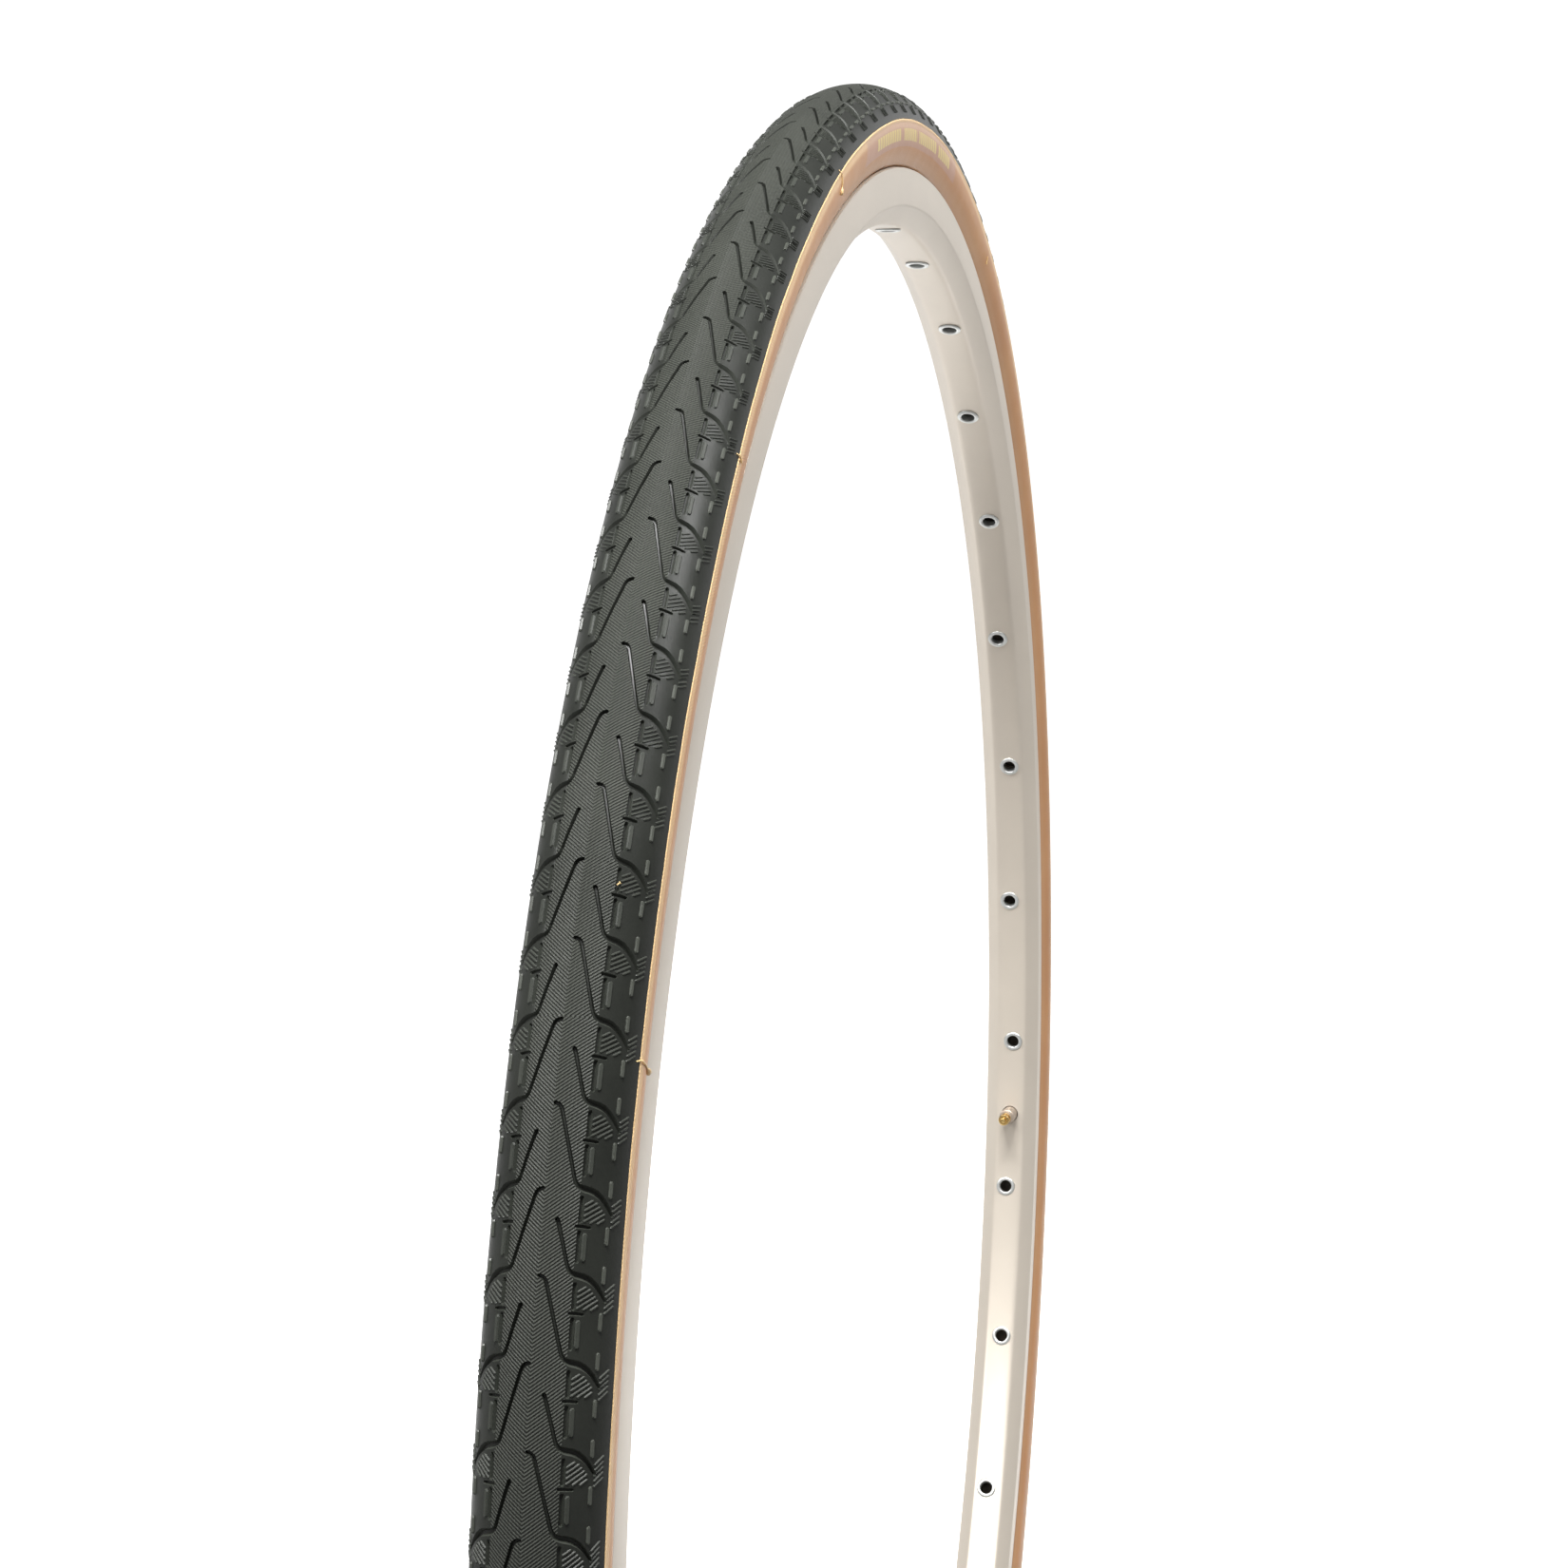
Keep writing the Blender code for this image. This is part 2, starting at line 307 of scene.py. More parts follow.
# One rubber in four kinds. The plain rubber keeps its own near-black, while the ribbed centre, the
# knurled panels, the block and groove walls, and most of all the raised bars are coloured lighter
# as painted highlight. Their dust colour is partly real dust and partly this painted highlight.
RUBBER = {   # dark, light, dust and highlight colour, dust share, roughness, specular level
    "ribbed": ((0.027, 0.030, 0.024), (0.042, 0.046, 0.037), (0.080, 0.085, 0.070),
               0.40, 0.44, 0.20),
    "smooth": ((0.009, 0.010, 0.0085), (0.016, 0.0175, 0.0145), (0.032, 0.034, 0.028),
               0.30, 0.30, 0.26),
    "raised": ((0.030, 0.033, 0.027), (0.048, 0.052, 0.043), (0.110, 0.114, 0.098),
               0.40, 0.34, 0.34),
    "knurled": ((0.017, 0.019, 0.0155), (0.027, 0.030, 0.0245), (0.062, 0.066, 0.055),
                0.40, 0.40, 0.30),
}
RIB_PITCH = 0.54                    # mm between the fine ribs of the centre band
RIB_TILT = math.radians(52.0)
BEAD_PITCH = 0.75                   # mm between the beads along each rib
RIB_GAP_SHADE = (0.006, 0.006, 0.006)      # painted shade between the ribs


def tread_material(name, kind):
    """Charcoal rubber, with fine slanting ribs on the centre band."""
    dark, light, dust_and_highlight, share, rough_low, level = RUBBER[kind]
    mat, tree, bsdf = nodes_of(name)
    obj_co = object_place(tree)
    cloud = noise_node(tree, obj_co, 34.0, 4.0)
    dust = noise_node(tree, obj_co, 900.0, 3.0, 0.7)
    base = ramp_node(tree, cloud, [(0.3, dark), (0.7, light)])
    # Dust speckle, brighter on the lighter kinds as painted highlight.
    colour = mix_colour(tree, math_node(tree, "MULTIPLY", dust, share), base, dust_and_highlight)
    grain = noise_node(tree, obj_co, 2600.0, 2.0, 0.6)
    normal = bump_node(tree, grain, 0.00004, 0.5)
    if kind == "ribbed":
        u, v, _ = axes_of(tree, surface_uv(tree))
        across = math_node(tree, "ABSOLUTE", v)
        phase = math_node(tree, "ADD",
                          math_node(tree, "MULTIPLY", u, math.sin(RIB_TILT)),
                          math_node(tree, "MULTIPLY", across, math.cos(RIB_TILT)))
        wave = sine_wave(tree, phase, RIB_PITCH)
        beads = sine_wave(tree, v, BEAD_PITCH)
        height = math_node(tree, "MULTIPLY_ADD", wave, 0.42, add=0.5)
        height = math_node(tree, "ADD", height, math_node(tree, "MULTIPLY", beads, 0.08))
        normal = bump_node(tree, height, 0.00015, 1.0, normal)
        # Painted shade: the gaps between the fine ribs take a darker colour, darker where the bump
        # is lower.
        rib_gap_shade = math_node(tree, "MULTIPLY", math_node(tree, "SUBTRACT", 1.0, height), 0.85, True)
        colour = mix_colour(tree, rib_gap_shade, colour, RIB_GAP_SHADE)
    tree.links.new(colour, bsdf.inputs["Base Color"])
    varied_roughness(tree, bsdf, cloud, rough_low, 0.16)
    tree.links.new(normal, bsdf.inputs["Normal"])
    bsdf.inputs["Specular IOR Level"].default_value = level
    return mat


def between(tree, value, low, high, soft):
    """1 from low to high, fading to 0 over soft on either side."""
    rise = range_node(tree, value, low - soft, low, 0.0, 1.0)
    fall = range_node(tree, value, high, high + soft, 1.0, 0.0)
    return math_node(tree, "MULTIPLY", rise, fall)


# The printed band at the top of each wall: mm round the wheel from the top, mm across the wall.
BAND_ALONG, BAND_ACROSS = (-60.0, 86.0), (2.2, 8.4)
BAR_GROUPS = ((38.0, 74.0), (12.0, 33.0), (-22.0, 8.0), (-48.0, -27.0))
BAR_ACROSS, BAR_IN_STEP, BAR_STEP = (3.8, 6.9), (0.5, 3.0), 3.6
BAR_SLANT = 0.4                     # mm round the wheel for each mm across the wall
AHEAD_OF_BAND = 300.0               # start of the count of bars, well before the first one
MAUVE, GOLD_INK = (0.50, 0.30, 0.25), (0.74, 0.58, 0.19)


def printed_band(tree, u, v, colour):
    """A plain mauve panel with four groups of gold bars, without letters."""
    shifted = math_node(tree, "MODULO", math_node(tree, "ADD", u, TURN / 2.0), TURN)
    along = math_node(tree, "SUBTRACT", shifted, TURN / 2.0)
    panel = math_node(tree, "MULTIPLY", between(tree, along, *BAND_ALONG, 4.0),
                      between(tree, v, *BAND_ACROSS, 0.4))
    colour = mix_colour(tree, math_node(tree, "MULTIPLY", panel, 0.55), colour, MAUVE)
    slanted = math_node(tree, "ADD", along, math_node(tree, "MULTIPLY", v, BAR_SLANT))
    step = math_node(tree, "MODULO", math_node(tree, "ADD", slanted, AHEAD_OF_BAND), BAR_STEP)
    bars = math_node(tree, "MULTIPLY", between(tree, step, *BAR_IN_STEP, 0.2),
                     between(tree, v, *BAR_ACROSS, 0.15))
    groups = 0.0
    for low, high in BAR_GROUPS:
        groups = math_node(tree, "ADD", between(tree, slanted, low, high, 0.3), groups)
    ink = math_node(tree, "MULTIPLY", bars, groups)
    return mix_colour(tree, math_node(tree, "MULTIPLY", ink, 0.95), colour, GOLD_INK)


LIP_SPAN = 16.0                     # mm of wall covered by the two lip ramps below
# Painted light by the tread: a thin brown painted shadow line at the edge, then a painted cream
# highlight a few mm wide, fading into the orange tan.
LIP_SHADOW_AND_HIGHLIGHT_COLOURS = [(0.050, (0.45, 0.25, 0.12)), (0.062, (0.90, 0.66, 0.35)),
               (0.120, (0.86, 0.58, 0.29)), (0.200, (0.94, 0.74, 0.44)),
               (0.260, (0.66, 0.36, 0.17)), (1.0, (0.66, 0.36, 0.17))]
LIP_SHADOW_AND_HIGHLIGHT_SHARE = [(0.045, (0.0, 0.0, 0.0)), (0.055, (1.0, 1.0, 1.0)), (0.110, (0.9, 0.9, 0.9)),
             (0.300, (0.0, 0.0, 0.0)), (1.0, (0.0, 0.0, 0.0))]
CORD_PITCH = 0.62                   # mm between the cords that show through the skin


def skin_material():
    """Tan wall with a painted shadow line and a painted cream highlight by the tread, a painted
    pale reflection towards the rim, cord weave and the printed band.
    """
    mat, tree, bsdf = nodes_of("tan_skinwall")
    u, v, _ = axes_of(tree, surface_uv(tree))
    obj_co = object_place(tree)
    cloud = noise_node(tree, obj_co, 22.0, 5.0)
    blot = noise_node(tree, obj_co, 160.0, 4.0)
    base = ramp_node(tree, cloud, [(0.28, (0.48, 0.205, 0.068)), (0.5, (0.54, 0.245, 0.085)),
                                   (0.72, (0.60, 0.300, 0.115))])
    colour = mix_colour(tree, math_node(tree, "MULTIPLY", blot, 0.35), base, (0.58, 0.31, 0.130))
    from_edge = math_node(tree, "DIVIDE", v, LIP_SPAN)
    # Painted shadow line and painted cream highlight near the tread edge.
    lip = ramp_node(tree, from_edge, LIP_SHADOW_AND_HIGHLIGHT_COLOURS)
    near = ramp_node(tree, from_edge, LIP_SHADOW_AND_HIGHLIGHT_SHARE)
    colour = mix_colour(tree, math_node(tree, "MULTIPLY", near, 0.9), colour, lip)
    # Painted reflection: the wall turns paler and greyer towards the rim, standing in for the white
    # backdrop reflected at a grazing angle.
    pale = range_node(tree, v, 8.0, 13.0, 0.0, 0.28)
    colour = mix_colour(tree, pale, colour, (0.62, 0.44, 0.30))
    colour = printed_band(tree, u, v, colour)
    cords = []
    for sign in (1.0, -1.0):
        phase = math_node(tree, "ADD", math_node(tree, "MULTIPLY", u, 0.72),
                          math_node(tree, "MULTIPLY", v, 0.69 * sign))
        cords.append(sine_wave(tree, phase, CORD_PITCH))
    weave = math_node(tree, "ADD", math_node(tree, "MULTIPLY", cords[0], 0.34),
                      math_node(tree, "MULTIPLY", cords[1], 0.10))
    weave = math_node(tree, "ADD", weave, 0.5)
    colour = mix_colour(tree, math_node(tree, "MULTIPLY", weave, 0.22), colour, (0.33, 0.185, 0.10))
    tree.links.new(colour, bsdf.inputs["Base Color"])
    normal = bump_node(tree, weave, 0.00005, 0.8)
    normal = bump_node(tree, blot, 0.00010, 0.4, normal)
    tree.links.new(normal, bsdf.inputs["Normal"])
    varied_roughness(tree, bsdf, blot, 0.36, 0.2)
    bsdf.inputs["Specular IOR Level"].default_value = 0.24
    bsdf.inputs["Coat Weight"].default_value = 0.15
    bsdf.inputs["Coat Roughness"].default_value = 0.22
    return mat


def metal_material(name, colour, low, high, metallic=1.0):
    """Metal with fine lines along the wheel and roughness from low to high."""
    mat, tree, bsdf = nodes_of(name)
    obj_co = object_place(tree)
    stretched = mapped(tree, surface_uv(tree), "Scale", (0.02, 6.0, 1.0))
    lines = noise_node(tree, stretched, 3.0, 4.0, 0.6)
    cloud = noise_node(tree, obj_co, 40.0, 5.0)
    fine = noise_node(tree, obj_co, 1400.0, 3.0, 0.6)
    shade = tuple(c * 0.9 for c in colour)
    base = mix_colour(tree, cloud, shade, colour)
    tree.links.new(base, bsdf.inputs["Base Color"])
    mixed = math_node(tree, "ADD", math_node(tree, "MULTIPLY", lines, 0.5),
                      math_node(tree, "MULTIPLY", fine, 0.5))
    varied_roughness(tree, bsdf, mixed, low, high - low)
    tree.links.new(bump_node(tree, mixed, 0.00001, 0.6), bsdf.inputs["Normal"])
    bsdf.inputs["Metallic"].default_value = metallic
    return mat


def plain_material(name, dark, light, roughness, scale=300.0, metallic=0.0):
    """Grainy surface between two colours."""
    mat, tree, bsdf = nodes_of(name)
    grain = noise_node(tree, object_place(tree), scale, 5.0)
    tree.links.new(ramp_node(tree, grain, [(0.3, dark), (0.7, light)]), bsdf.inputs["Base Color"])
    tree.links.new(bump_node(tree, grain, 0.00006, 0.5), bsdf.inputs["Normal"])
    varied_roughness(tree, bsdf, grain, roughness, 0.15)
    bsdf.inputs["Metallic"].default_value = metallic
    return mat


# --- tread pattern ------------------------------------------------------------------------
# One repeat holds a long and a short slanting groove on each side of the centre line.
# u runs round the wheel, v across it from the centre line, both in mm. A line feature is a row
# of (u, v, half width) points; a panel is a polygon of (u, v) corners filled with ribs.

SHOULDER_CURVE = [(-0.8, 5.35, 0.44), (-0.15, 5.95, 0.54), (0.2, 6.9, 0.66), (0.42, 8.1, 0.70),
                  (0.8, 9.2, 0.66), (1.5, 10.3, 0.58), (2.5, 11.4, 0.48), (3.6, 12.3, 0.38),
                  (4.6, 13.0, 0.26)]
LONG_GROOVE = [(-14.4, 0.3, 0.40), (-14.2, 1.0, 0.42), (-13.7, 1.5, 0.42), (-12.9, 1.78, 0.40),
               (-7.3, 3.4, 0.36), (-1.7, 5.0, 0.38)] + SHOULDER_CURVE
SHORT_GROOVE = [(-9.2, 2.7, 0.48), (-8.6, 2.95, 0.42), (-5.0, 4.05, 0.37),
                (-1.7, 5.0, 0.38)] + SHOULDER_CURVE
DASH_A = [(1.75, 6.75, 0.42), (5.9, 6.75, 0.42)]
DASH_B = [(7.75, 6.75, 0.42), (12.8, 6.75, 0.42)]
TICK = [(6.75, 6.1, 0.34), (6.8, 7.4, 0.36), (6.9, 8.6, 0.30)]
BLOCK = [(8.3, 7.80, 0.50), (12.4, 7.80, 0.50)]
BAR_A = [(-1.2, 12.15, 0.40), (1.3, 12.15, 0.40)]
BAR_B = [(6.9, 12.15, 0.40), (9.5, 12.15, 0.40)]
PANEL_1 = [(1.55, 7.45), (6.0, 7.45), (6.2, 11.3), (4.5, 11.3), (2.6, 9.6)]
PANEL_2 = [(2.7, 12.95), (7.1, 12.95), (5.7, 15.0), (1.1, 15.0)]
KNURL_PITCH = 0.80                  # mm between the ribs of a panel
KNURL_TILT = math.radians(58.0)
GROOVE, DASH, NICK = -0.75, -0.6, -0.5          # depths, mm
BLOCK_RISE, BAR_RISE, KNURL_RISE = 0.30, 0.34, 0.22


def clip_line(poly, normal, offset):
    """Where the line normal . p = offset crosses a convex polygon."""
    hits = []
    for a, b in zip(poly, poly[1:] + poly[:1]):
        da = a[0] * normal[0] + a[1] * normal[1] - offset
        db = b[0] * normal[0] + b[1] * normal[1] - offset
        if da * db < 0:
            t = da / (da - db)
            hits.append((a[0] + (b[0] - a[0]) * t, a[1] + (b[1] - a[1]) * t))
    return hits[:2] if len(hits) >= 2 else None


def panel_ribs(poly):
    """Parallel ribs that fill a panel; stubs shorter than 0.9 mm are left out."""
    normal = (math.sin(KNURL_TILT), math.cos(KNURL_TILT))
    values = [p[0] * normal[0] + p[1] * normal[1] for p in poly]
    ribs = []
    at = min(values) + KNURL_PITCH * 0.55
    while at < max(values) - KNURL_PITCH * 0.3:
        hit = clip_line(poly, normal, at)
        if hit and math.dist(*hit) > 0.9:
            (ax, ay), (bx, by) = hit
            ribs.append([(ax, ay, 0.25), (bx, by, 0.25)])
        at += KNURL_PITCH
    return ribs


def pattern():
    """Features of one repeat: (points with half widths, depth, flat share)."""
    ribs = panel_ribs(PANEL_1) + panel_ribs(PANEL_2)
    found = []
    for side in (1, -1):
        for half in (0, 1):
            long_here = (half == 0) == (side == 1)
            shift = CELL / 2.0 * half
            group = [(LONG_GROOVE if long_here else SHORT_GROOVE, GROOVE, 0.4)]
            group += [(DASH_A, DASH, 0.5), (DASH_B, DASH, 0.5), (TICK, NICK, 0.5)]
            group += [(BLOCK, BLOCK_RISE, 0.6), (BAR_A, BAR_RISE, 0.6), (BAR_B, BAR_RISE, 0.6)]
            group += [(rib, KNURL_RISE, 0.35) for rib in ribs]
            for points, depth, flat in group:
                moved = [(u + shift, v * side, w) for u, v, w in points]
                for lap in (-CELL, 0.0, CELL):
                    placed = [(u + lap, v, w) for u, v, w in moved]
                    if max(p[0] for p in placed) > -1.0 and min(p[0] for p in placed) < CELL + 1.0:
                        found.append((placed, depth, flat))
    return found


def outline(points, share):
    """Closed outline at a share of the half width either side of a polyline."""
    left, right = [], []
    for i, (x, y, w) in enumerate(points):
        ax, ay, _ = points[max(i - 1, 0)]
        bx, by, _ = points[min(i + 1, len(points) - 1)]
        dx, dy = bx - ax, by - ay
        length = math.hypot(dx, dy)
        dx, dy = dx / length, dy / length
        if 0 < i < len(points) - 1:
            left.append((x - dy * w * share, y + dx * w * share))
            right.append((x + dy * w * share, y - dx * w * share))
            continue
        sign = -1.0 if i == 0 else 1.0
        cap = []
        for step in range(4):
            a = math.radians(90.0 - 60.0 * step)
            cx, cy = math.cos(a) * w * share * sign, math.sin(a) * w * share
            cap.append((x + dx * cx - dy * cy, y + dy * cx + dx * cy))
        if i == 0:
            left += [cap[1], cap[0]]
            right += [cap[2], cap[3]]
        else:
            left += [cap[0], cap[1]]
            right += [cap[3], cap[2]]
    return left + right[::-1]


def nearest_on(u, v, a, b):
    """Share along the segment a to b of its point nearest to (u, v), and the distance."""
    dx, dy = b[0] - a[0], b[1] - a[1]
    t = ((u - a[0]) * dx + (v - a[1]) * dy) / (dx * dx + dy * dy)
    t = min(1.0, max(0.0, t))
    return t, math.hypot(u - a[0] - dx * t, v - a[1] - dy * t)


def height_at(features, u, v):
    """Surface height at (u, v): the deepest groove wins, then the highest rise."""
    low, high = 0.0, 0.0
    for points, depth, flat in features:
        best = math.inf
        for a, b in zip(points, points[1:]):
            t, distance = nearest_on(u, v, a, b)
            best = min(best, distance / (a[2] + (b[2] - a[2]) * t))
        rise = min(1.0, max(0.0, (1.0 - best) / (1.0 - flat)))
        if depth < 0:
            low = min(low, depth * rise)
        else:
            high = max(high, depth * rise)
    return low if low < 0 else high


def near_features(features, boxes, u, v):
    return [f for f, b in zip(features, boxes) if b[0] < u < b[1] and b[2] < v < b[3]]


def crowded(features, u, v):
    """Whether (u, v) lies on or close beside a feature."""
    for placed, _, _ in features:
        for a, b in zip(placed, placed[1:]):
            if nearest_on(u, v, a, b)[1] < max(a[2], b[2]) + 0.3:
                return True
    return False


COLUMNS, ROWS = 12, 20              # border points along and across one repeat


def tile():
    """Triangles of one repeat, with heights, cut along every outline."""
    features = pattern()
    points, edges = [], []

    def add_loop(loop, closed=True):
        first = len(points)
        points.extend(Vector(p) for p in loop)
        count = len(loop)
        edges.extend((first + i, first + i + 1) for i in range(count - 1))
        if closed:
            edges.append((first + count - 1, first))

    us = [CELL * i / COLUMNS for i in range(COLUMNS + 1)]
    vs = [-EDGE + 2.0 * EDGE * i / ROWS for i in range(ROWS + 1)]
    border = [(u, -EDGE) for u in us] + [(CELL, v) for v in vs[1:]]
    border += [(u, EDGE) for u in us[::-1][1:]] + [(0.0, v) for v in vs[::-1][1:-1]]
    add_loop(border)
    for line in (RIBBED_HALF, -RIBBED_HALF):
        add_loop([(u, line) for u in us], closed=False)
    boxes = []
    for placed, _, flat in features:
        for share in (1.0, flat):
            add_loop(outline(placed, share))
        boxes.append((min(p[0] for p in placed) - 0.8, max(p[0] for p in placed) + 0.8,
                      min(p[1] for p in placed) - 0.8, max(p[1] for p in placed) + 0.8))
    for i in range(1, 2 * COLUMNS):
        for j in range(1, ROWS):
            u, v = CELL * i / (2.0 * COLUMNS), vs[j] + (0.4 if i % 2 else -0.4)
            near = near_features(features, boxes, u, v)
            if not crowded(near, u, v) and abs(abs(v) - RIBBED_HALF) > 0.3:
                points.append(Vector((u, v)))
    verts, _, faces, _, _, _ = delaunay_2d_cdt(points, edges, [], 0, 1e-5)
    kept = []
    for f in faces:
        cu = sum(verts[i].x for i in f) / 3.0
        cv = sum(verts[i].y for i in f) / 3.0
        if 0.0 < cu < CELL and abs(cv) < EDGE:
            kept.append(tuple(f))
    used = sorted(set(i for f in kept for i in f))
    index = {old: new for new, old in enumerate(used)}
    flat_points = []
    for i in used:
        u, v = verts[i].x, verts[i].y
        flat_points.append((u, v, height_at(near_features(features, boxes, u, v), u, v)))
    return flat_points, [tuple(index[i] for i in f) for f in kept]


def edge_sway(theta, side):
    """The moulded edge of the black rubber wanders a little round the wheel."""
    p = Vector((math.sin(theta) * 6.0, math.cos(theta) * 6.0, side * 3.0))
    q = Vector((math.sin(theta) * 26.0, math.cos(theta) * 26.0, side * 9.0))
    return 0.30 * noise.noise(p) + 0.12 * noise.noise(q)


def tread_place(theta, v, h):
    """Point of the tread; only its outermost strip follows the wandering edge."""
    pull = min(1.0, max(0.0, (abs(v) - 14.0) / 2.2))
    side = 1.0 if v > 0 else -1.0
    return section_point(theta, v + side * edge_sway(theta, side) * pull, h)


RIBBED, SMOOTH, RAISED, KNURLED = range(4)      # material slots of the tread
RAISED_FROM = 0.31                  # only the bars reach above this height
LEVEL = 0.05                        # heights up to this count as the plain surface
SUNK = -0.1                         # heights below this count as a groove
STEEP = 0.15                        # height difference across a triangle of a groove wall
HIGHLIGHT_WALLS_FROM = 5.0                     # groove walls further out than this are painted paler, as painted highlight


def face_kind(corners):
    """Material slot of a tread triangle from its (u, v, height) corners."""
    across = abs(sum(c[1] for c in corners) / 3.0)
    low, top = min(c[2] for c in corners), max(c[2] for c in corners)
    if top > LEVEL:
        return RAISED if top > RAISED_FROM else KNURLED
    if low > SUNK:
        return RIBBED if across < RIBBED_HALF else SMOOTH
    # Painted highlight: steep groove walls on the shoulders take the lighter knurled rubber.
    return KNURLED if top - low > STEEP and across > HIGHLIGHT_WALLS_FROM else SMOOTH


SHELL_STEPS = 8                     # inner shell points across the tread
SHELL_EDGE, SHELL_CROWN = 0.62, 0.9     # shell depth, and how much deeper it is at the crown


def build_tread(mats):
    """Patterned outside of every repeat, closed by a plain inner shell."""
    tile_points, tile_faces = tile()
    verts, uvs, faces, kinds = [], [], [], []
    for lap in range(CELLS):
        base = len(verts)
        for u, v, h in tile_points:
            theta = PHASE - (u + lap * CELL) / R_WRAP
            verts.append(tread_place(theta, v, h))
            uvs.append((u + lap * CELL, v))
        for f in tile_faces:
            faces.append(tuple(base + i for i in f))
            kinds.append(face_kind([tile_points[i] for i in f]))
    shell_from = len(verts)
    width = SHELL_STEPS + 3
    us = [CELL * i / COLUMNS for i in range(COLUMNS)]
    total = CELLS * COLUMNS
    for lap in range(CELLS):
        for u in us:
            theta = PHASE - (u + lap * CELL) / R_WRAP
            for j in range(width):
                if j == 0:
                    v, h = -EDGE, 0.0
                elif j == width - 1:
                    v, h = EDGE, 0.0
                else:
                    v = -EDGE + 2.0 * EDGE * (j - 1) / SHELL_STEPS
                    h = -SHELL_EDGE - SHELL_CROWN * math.cos(v / RHO) ** 2
                verts.append(tread_place(theta, v, h))
                uvs.append((u + lap * CELL, v))
    for i in range(total):
        k = (i + 1) % total
        for j in range(width - 1):
            a, b = shell_from + i * width + j, shell_from + k * width + j
            faces.append((a, a + 1, b + 1, b))
            kinds.append(SMOOTH)
    obj = new_object("tread_rubber", verts, faces, mats, face_mat=kinds, uvs=uvs, angle=180)
    outward_normals(obj, weld=0.000012)
    obj.data.set_sharp_from_angle(angle=math.radians(24.0))
    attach(obj, "wheel")
    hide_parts("tread")


# --- sidewalls ----------------------------------------------------------------------------

SKIN_INSIDE = 12.27                 # section radius of the skin's inner face
WALL_START, WALL_END, WALL_STEP = 19.2, 28.4, 1.25      # arc samples down the plain wall


def skin_profile(theta, side):
    """Section of the tan skin as (y, r) points in mm, outside then inside."""
    edge = EDGE + edge_sway(theta, side)
    outside = [(edge - 0.9, -0.30), (edge + 0.02, -0.26), (edge + 0.10, 0.0), (edge + 0.32, 0.10),
               (edge + 0.62, 0.02), (edge + 0.85, -0.10), (edge + 1.3, -0.12)]
    v = WALL_START
    while v < WALL_END:
        outside.append((v, -0.10 + 0.04 * noise.noise(Vector((theta * 9.0, v * 0.4, side)))))
        v += WALL_STEP
    points = [section_yr(arc, h) for arc, h in outside]
    points += [(9.75, 317.45), (9.3, 317.02), (8.7, 316.9), (8.15, 316.7), (8.12, 311.3),
               (7.5, 311.3), (7.5, 316.6), (8.6, 317.6)]
    for arc in (28.0, 25.0, 22.0, 19.0, 16.0):
        phi = arc / RHO
        points.append((SKIN_INSIDE * math.sin(phi), R_MID + SKIN_INSIDE * math.cos(phi)))
    return points


def build_skin(name, node_name, side, mat):
    """Tan wall on one side; its UV runs from the tread edge down to the rim."""
    segments = 720
    verts, uvs, faces = [], [], []
    for j in range(segments):
        theta = -2.0 * math.pi * j / segments
        profile = skin_profile(theta, side)
        run = 0.0
        for i, (y, r) in enumerate(profile):
            if i:
                run += math.dist(profile[i - 1], (y, r))
            verts.append(wheel_point(theta, r, -side * y))
            uvs.append((TURN * j / segments, run))
    n = len(profile)
    for j in range(segments):
        k = (j + 1) % segments
        for i in range(n):
            m = (i + 1) % n
            quad = (j * n + i, k * n + i, k * n + m, j * n + m)
            faces.append(quad if side > 0 else quad[::-1])
    obj = new_object(name, verts, faces, [mat], uvs=uvs, angle=50)
    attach(obj, "wheel")
    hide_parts(node_name)


# --- flash --------------------------------------------------------------------------------
# Hairs of tan rubber left by the mould: wheel angle in degrees, (step round the wheel, arc,
# lift) along each, and the radius of the blob at its end, all in mm.

FLASH = [(-21.0, [(0.0, 16.4, 0.0), (1.2, 18.0, 0.1), (0.8, 20.4, 0.0), (-0.6, 22.6, 0.0)], 0.60),
         (-42.5, [(0.0, 16.0, 0.0), (0.3, 17.2, 0.3), (-0.2, 18.6, 0.2)], 0.34),
         (-65.6, [(0.0, 15.6, 0.0), (0.5, 17.2, 0.2), (0.0, 21.5, 0.0), (-0.6, 25.4, 0.3)], 0.60),
         (-60.3, [(0.0, 6.6, 0.0), (0.3, 6.9, 0.2), (0.5, 7.1, 0.35)], 0.30),
         (23.5, [(0.0, 22.0, 0.0), (0.8, 23.4, 0.0), (1.0, 24.6, 0.0)], 0.30)]
HAIR = 0.15                         # radius of a hair
SIDE_LIMIT = -13.0 * MM             # the hairs stay on this side of the CAD box


def flash_path(angle, route):
    """Points along one hair, four to each stretch of its route."""
    path = []
    for a, b in zip(route, route[1:]):
        for i in range(4):
            t = i / 4.0
            path.append([a[k] + (b[k] - a[k]) * t for k in range(3)])
    path.append(list(route[-1]))
    points = []
    for step, arc, lift in path:
        x, y, z = section_point(math.radians(angle) + step / R_OUT, arc, lift)
        points.append(Vector((x, max(y, SIDE_LIMIT + HAIR * MM), z)))
    return points


